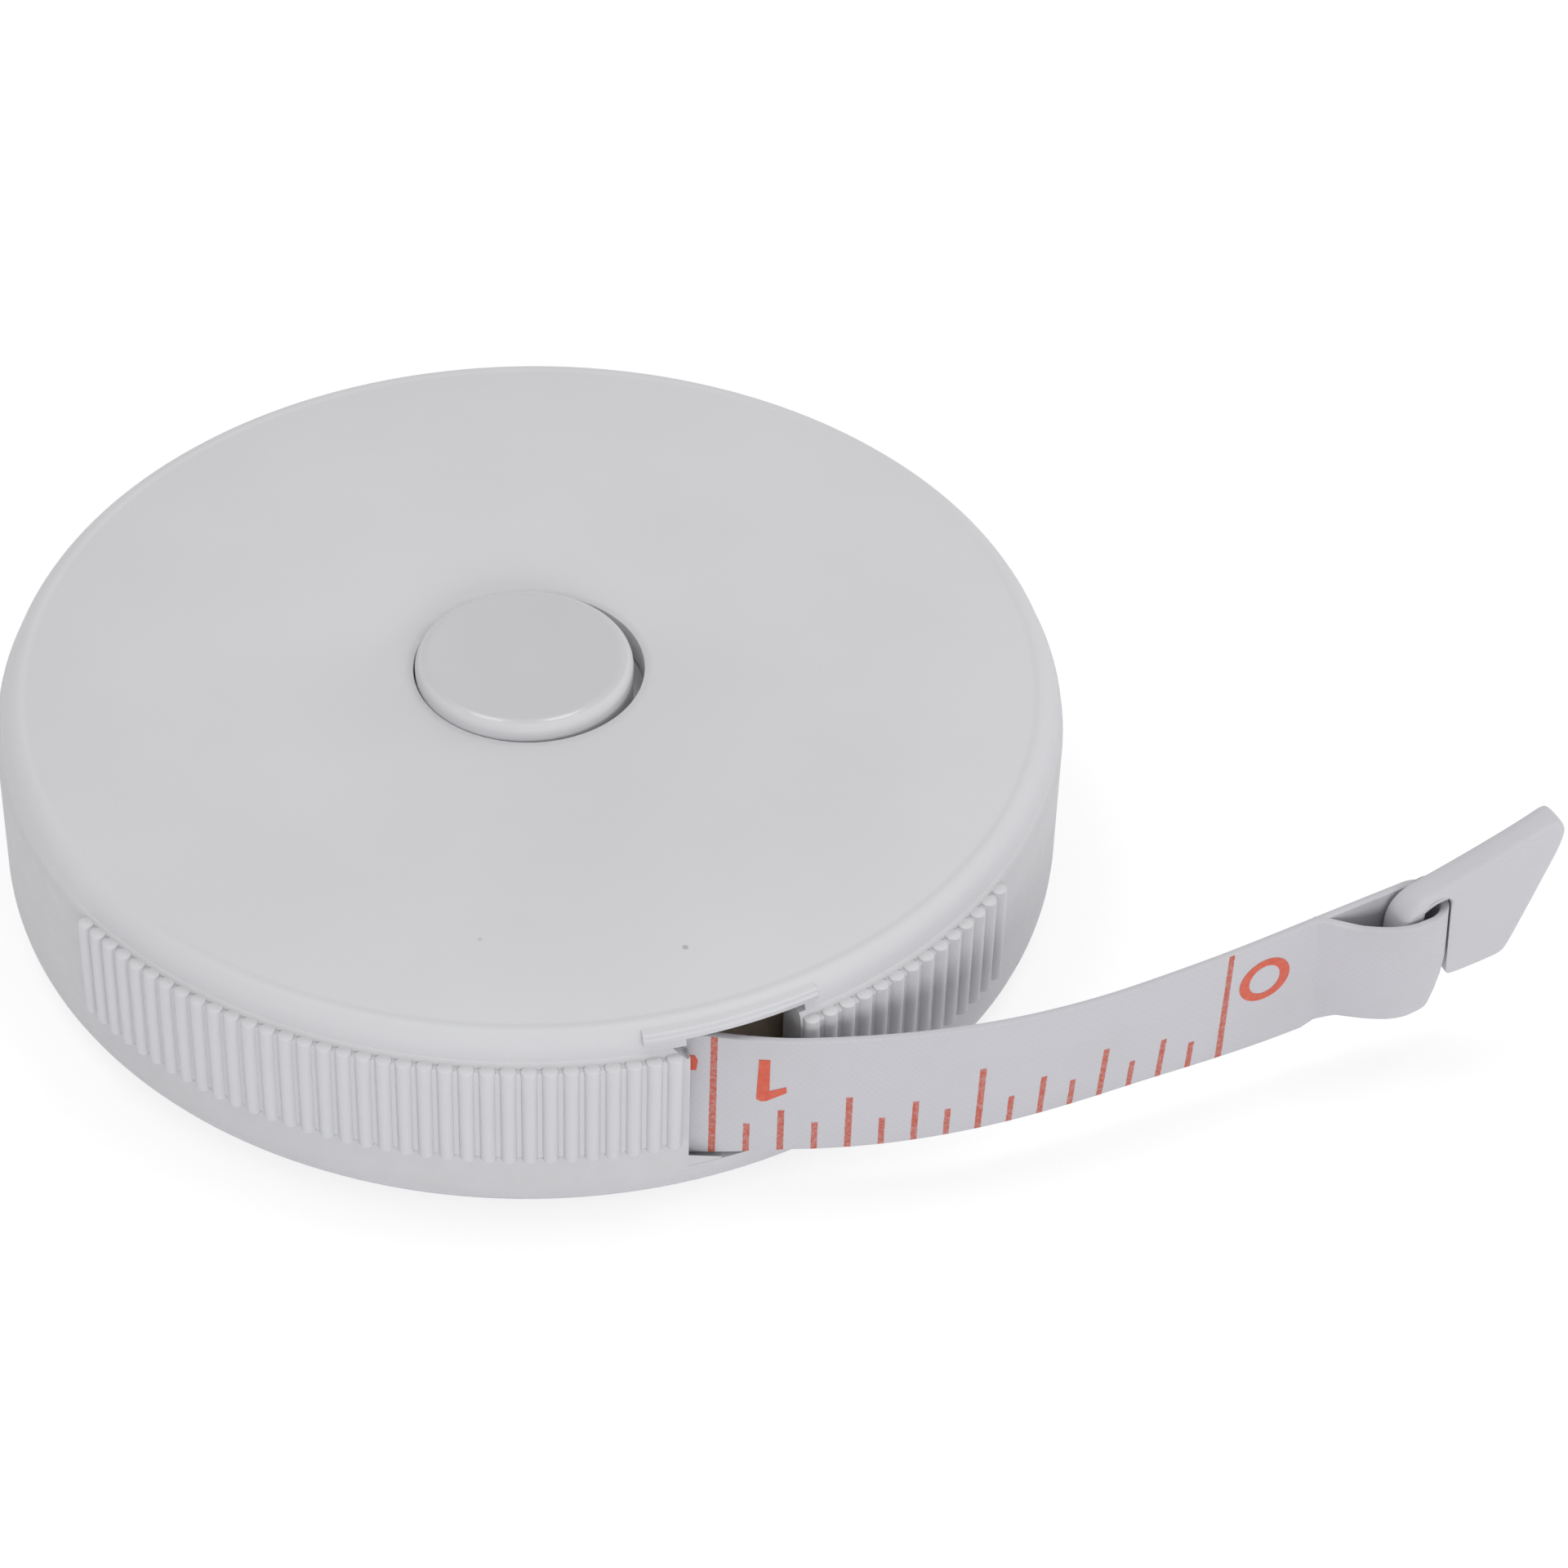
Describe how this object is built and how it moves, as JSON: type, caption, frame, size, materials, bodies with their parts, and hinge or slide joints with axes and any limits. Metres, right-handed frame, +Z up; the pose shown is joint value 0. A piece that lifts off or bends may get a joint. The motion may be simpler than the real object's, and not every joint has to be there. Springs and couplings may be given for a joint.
{
  "type": "tape measure",
  "caption": "Round push-button cloth tape measure: a spring-wound reel with a brake in a ribbed plastic case, a printed tape on its edge and a finger tab in its end loop.",
  "frame": {"origin": "middle of the case's flat base, on the surface it lies on", "axes": "+Z up along the reel's axis, -Y towards the side with the tape window, +X along the free tape towards its tab"},
  "size_m": [0.0755, 0.0542, 0.0134],
  "materials": {
    "case_plastic": "satin moulded plastic, pale grey white",
    "tab_plastic": "satin moulded plastic, pale grey white",
    "button_plastic": "polished moulded plastic, pale grey white",
    "coated_cloth": "vinyl-coated woven glass cloth, white, printed in red",
    "spring_steel": "plain spring steel",
    "pin_steel": "turned steel",
    "natural_nylon": "unfilled nylon, brownish grey",
    "brake_rubber": "dull black rubber"
  },
  "bodies": {
    "case": {"lower_shell": "case_plastic", "upper_shell": "case_plastic", "lower_liner": "natural_nylon", "upper_liner": "natural_nylon", "spring_arbor": "pin_steel", "arbor_clip": "pin_steel", "brake_pin": "pin_steel"},
    "reel": {"reel_drum": "natural_nylon", "drum_lid": "natural_nylon", "mainspring": "spring_steel", "tape_coil": "coated_cloth", "tape_anchor": "natural_nylon", "brake_ring": "brake_rubber"},
    "brake": {"brake_lever": "natural_nylon", "brake_pad": "brake_rubber", "brake_spring": "spring_steel"},
    "button": {"push_button": "button_plastic", "button_spring": "spring_steel"},
    "tape": {"tape_lead": "coated_cloth"},
    "tab": {"pull_tab": "tab_plastic"}
  },
  "joints": [
    {"name": "reel_spin", "type": "hinge", "parent": "case", "child": "reel", "pos_m": [0, 0, 0], "axis": [0, 0, 1], "range_deg": [-7.22, 21.66]},
    {"name": "tape_slide", "type": "slide", "parent": "case", "child": "tape", "axis": [0.9968, -0.0802, 0], "range_m": [-0.003, 0.009]},
    {"name": "button_press", "type": "slide", "parent": "case", "child": "button", "axis": [0, 0, -1], "range_m": [0, 0.0009], "stiffness_N_per_m": 1500, "springref_m": -0.0005, "deforming": ["button_spring"]},
    {"name": "brake_lift", "type": "hinge", "parent": "case", "child": "brake", "pos_m": [0.00845, 0, 0.0078], "axis": [0, -1, 0], "range_deg": [0, 6.2]},
    {"name": "tab_swing", "type": "hinge", "parent": "tape", "child": "tab", "pos_m": [0.04147, -0.01637, 0.00668], "axis": [-0.069, -0.0682, 0.9953], "range_deg": [-90, 90]}
  ],
  "couplings": [
    {"joint": "tape_slide", "follows": "reel_spin", "m_per_rad": 0.0238},
    {"joint": "brake_lift", "follows": "button_press", "rad_per_m": 118.34}
  ]
}
